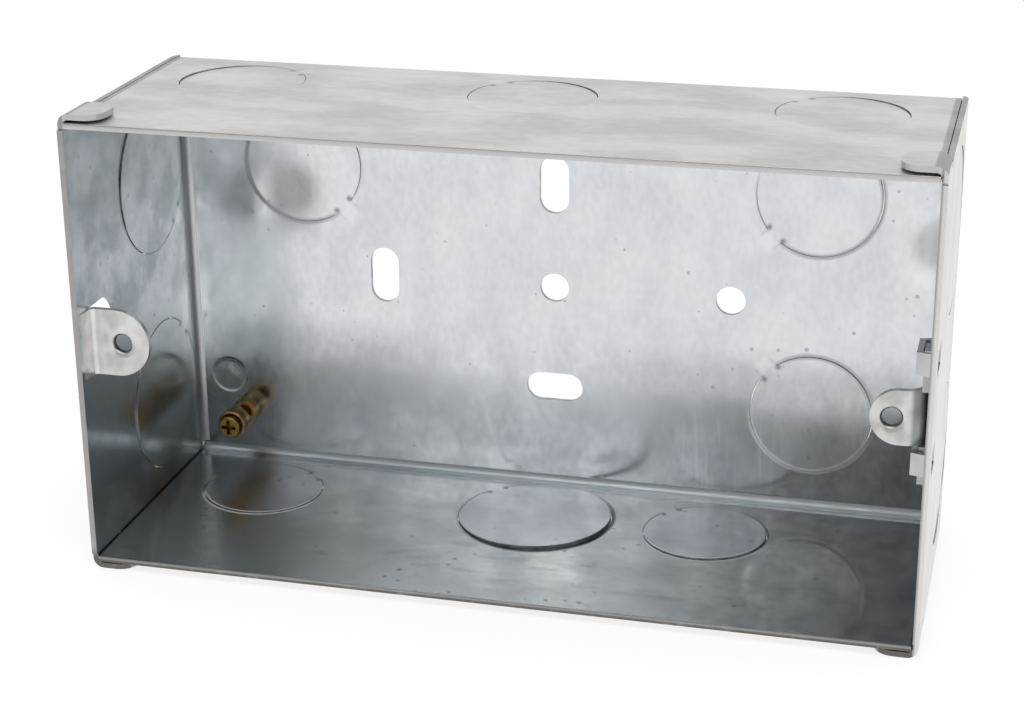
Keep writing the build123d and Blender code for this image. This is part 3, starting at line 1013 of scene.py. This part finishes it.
def sheetFinish(centre, normal):  # which finish a face of the folded sheet takes
    mirrored = Vector((centre.x, centre.y, abs(centre.z)))
    if inZone(centre, zones["lugLow"], zones["lugHigh"]):
        return "lug"
    if inZone(mirrored, zones["loopLow"], zones["loopHigh"]):
        return "lug"
    if centre.y < shell["rim"] + zones["rimBand"]:
        return "edge"
    onTab = mirrored.z > shell["wall"] + zones["tabRise"]
    atCorner = mirrored.z > shell["wall"] - shell["notch"]
    atEnd = abs(abs(centre.x) - shell["longEnd"]) < zones["cornerHalf"]
    if atCorner and atEnd and abs(normal.x) > zones["square"]:
        return "seam"
    atTab = atCorner and abs(centre.x) > shell["longEnd"]
    behind = centre.y > shell["rim"] + zones["tabBack"]
    if atTab and behind and abs(normal.y) > zones["square"]:
        return "seam"
    if (onTab or atTab) and normal.y < -zones["forward"]:
        return "edge"
    longWall = "Top" if centre.z > 0 else "Floor"
    if onTab:
        return "outside" + longWall  # corner tabs lie outside the long walls
    facing = normal.dot(inwardWay(centre))
    if abs(facing) < zones["tilt"]:
        return "slit"
    steepest = max(range(3), key=lambda axis: abs(normal[axis]))
    if facing > 0 and abs(normal[steepest]) < zones["folded"]:
        return "insideFold"
    wall = ("Ends", "Back", longWall)[steepest]
    return ("inside" if facing > 0 else "outside") + wall


blankLean = {                   # how far the free side of each blank stands into the box, mm
    "usual": 0.28,
    "knockout_floor_middle": 0.6,
    "knockout_floor_right": 0.35,
    "knockout_back_upper_left": 0.35,
    "knockout_back_upper_right": 0.5,
    "knockout_back_lower_right": 0.45,
    "knockout_top_middle": 0.35,
    "knockout_top_right": 0.35,
}
blankZone = {
    "depth": (-1.0, 0.1),       # from the outer face, inward is negative
    "slitHalf": 0.06,
}


def bridgeWay(name, centre):  # from the middle of a blank to its bridge
    acrossX = -math.copysign(1.0, centre.x + 1.0)  # a blank in the middle has it on the left
    acrossZ = -math.copysign(1.0, centre.z)
    if name.startswith("knockout_back"):
        return Vector((acrossX, 0.0, acrossZ)).normalized()
    if name.startswith(("knockout_top", "knockout_floor")):
        return Vector((acrossX, 1.0, 0.0)).normalized()
    return Vector((0.0, 1.0, acrossZ)).normalized()


def leanBlank(shape, name, outward):  # tilts a blank about its bridge, into the box
    centre = mountPlaces[name]
    way = bridgeWay(name, centre)
    large = name.startswith(("knockout_left", "knockout_right", "knockout_floor_middle"))
    radius = knockout["large"] if large else knockout["small"]
    lean = blankLean.get(name, blankLean["usual"])
    deepest, highest = blankZone["depth"]
    for vert in shape.verts:
        offset = vert.co * mm - centre
        depth = offset.dot(outward)
        fromMiddle = (offset - outward * depth).length
        if deepest < depth < highest and fromMiddle < radius - blankZone["slitHalf"]:
            vert.co -= outward * (lean * (radius - offset.dot(way)) / (2 * radius) / mm)


def leanBlanks(shape):
    for mount in frame["record"]["mounts"]:
        if mount["name"].startswith("knockout"):
            leanBlank(shape, mount["name"], Vector(mount["axis"]))


def makeSkin(node, body, finishes, pick, reshape=None):
    shape = bmesh.new()
    shape.from_mesh(frame["nodes"][node].data)
    bmesh.ops.remove_doubles(shape, verts=shape.verts, dist=skins["mergeStep"])
    if reshape:
        reshape(shape)
    names = list(finishes)
    for face in shape.faces:
        face.smooth = True
        face.material_index = names.index(pick(face.calc_center_median() * mm, face.normal))
    for edge in shape.edges:
        edge.smooth = edge.is_manifold and edge.calc_face_angle(0.0) < math.radians(skins["sharpTurn"])
    mesh = bpy.data.meshes.new(node + "Skin")
    shape.to_mesh(mesh)
    shape.free()
    for name in names:
        mesh.materials.append(finishes[name])
    skin = bpy.data.objects.new(node + "Skin", mesh)
    bpy.context.scene.collection.objects.link(skin)
    weighting = skin.modifiers.new("flatFaces", "WEIGHTED_NORMAL")
    weighting.mode = "FACE_AREA"
    weighting.weight = skins["flatWeight"]
    weighting.keep_sharp = True
    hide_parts(node)
    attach(skin, body)
    print(node, "dressed,", len(mesh.polygons), "faces")


def onlyFinish(name):
    return lambda centre, normal: name


makeSkin("box_body", "box", sheetFinishes, sheetFinish, leanBlanks)
slidingFinish = {"lug": lugZinc("slidingLugZinc", "sliding_lug_hole", slidingLugMetal)}
makeSkin("adjustable_lug", "lug", slidingFinish, onlyFinish("lug"))
makeSkin("earth_post", "box", {"brass": postBrass()}, onlyFinish("brass"))
makeSkin("terminal_screw", "screw", {"brass": screwBrass()}, onlyFinish("brass"))
